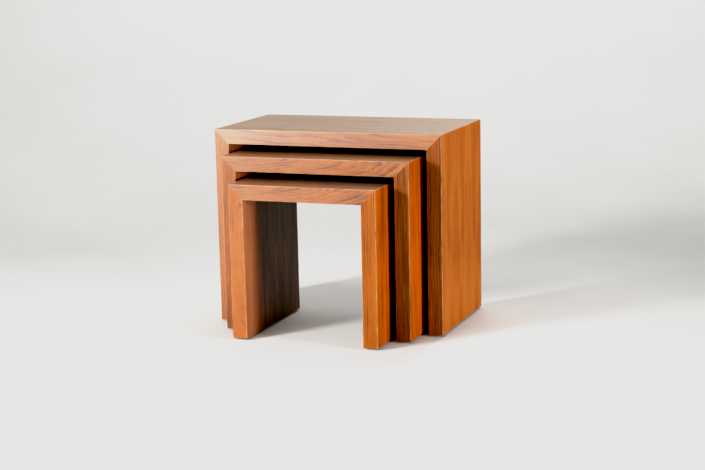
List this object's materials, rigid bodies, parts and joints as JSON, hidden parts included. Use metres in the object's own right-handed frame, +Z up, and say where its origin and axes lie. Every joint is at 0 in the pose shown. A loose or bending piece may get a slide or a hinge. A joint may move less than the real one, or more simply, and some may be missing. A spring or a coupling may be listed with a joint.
{
  "type": "nesting tables",
  "caption": "Nest of waterfall side tables, each a thick top and legs mitred into an inverted U, that slide out from under one another.",
  "frame": {"origin": "on the floor, under the middle of the box that holds the three tables as they stand at rest", "axes": "+X to the right along the tables' width, +Y to the back, +Z up; the smaller tables stand out towards -Y"},
  "size_m": [0.61, 0.506, 0.508],
  "materials": {
    "face_veneer": "satin",
    "edge_lipping": "satin",
    "lining_veneer": "satin",
    "slab_core": "matte",
    "spline_plywood": "matte",
    "glide_nylon": "satin",
    "nail_steel": "satin"
  },
  "bodies": {
    "large_table": {"large_top_core": "slab_core", "large_top_veneer": "face_veneer", "large_top_lining": "lining_veneer", "large_left_core": "slab_core", "large_left_veneer": "face_veneer", "large_left_lining": "lining_veneer", "large_left_spline": "spline_plywood", "large_right_core": "slab_core", "large_right_veneer": "face_veneer", "large_right_lining": "lining_veneer", "large_right_spline": "spline_plywood", "large_front_top_lipping": "edge_lipping", "large_front_left_lipping": "edge_lipping", "large_front_right_lipping": "edge_lipping", "large_back_top_lipping": "edge_lipping", "large_back_left_lipping": "edge_lipping", "large_back_right_lipping": "edge_lipping", "large_glides": "glide_nylon", "large_glide_nails": "nail_steel"},
    "middle_table": {"middle_top_core": "slab_core", "middle_top_veneer": "face_veneer", "middle_top_lining": "lining_veneer", "middle_left_core": "slab_core", "middle_left_veneer": "face_veneer", "middle_left_lining": "lining_veneer", "middle_left_spline": "spline_plywood", "middle_right_core": "slab_core", "middle_right_veneer": "face_veneer", "middle_right_lining": "lining_veneer", "middle_right_spline": "spline_plywood", "middle_front_top_lipping": "edge_lipping", "middle_front_left_lipping": "edge_lipping", "middle_front_right_lipping": "edge_lipping", "middle_back_top_lipping": "edge_lipping", "middle_back_left_lipping": "edge_lipping", "middle_back_right_lipping": "edge_lipping", "middle_glides": "glide_nylon", "middle_glide_nails": "nail_steel"},
    "small_table": {"small_top_core": "slab_core", "small_top_veneer": "face_veneer", "small_top_lining": "lining_veneer", "small_left_core": "slab_core", "small_left_veneer": "face_veneer", "small_left_lining": "lining_veneer", "small_left_spline": "spline_plywood", "small_right_core": "slab_core", "small_right_veneer": "face_veneer", "small_right_lining": "lining_veneer", "small_right_spline": "spline_plywood", "small_front_top_lipping": "edge_lipping", "small_front_left_lipping": "edge_lipping", "small_front_right_lipping": "edge_lipping", "small_back_top_lipping": "edge_lipping", "small_back_left_lipping": "edge_lipping", "small_back_right_lipping": "edge_lipping", "small_glides": "glide_nylon", "small_glide_nails": "nail_steel"}
  },
  "joints": [
    {"name": "middle_table_slide", "type": "slide", "parent": "large_table", "child": "middle_table", "axis": [0, -1, 0], "range_m": [-0.083, 0.3]},
    {"name": "small_table_slide", "type": "slide", "parent": "middle_table", "child": "small_table", "axis": [0, -1, 0], "range_m": [-0.083, 0.3]}
  ]
}
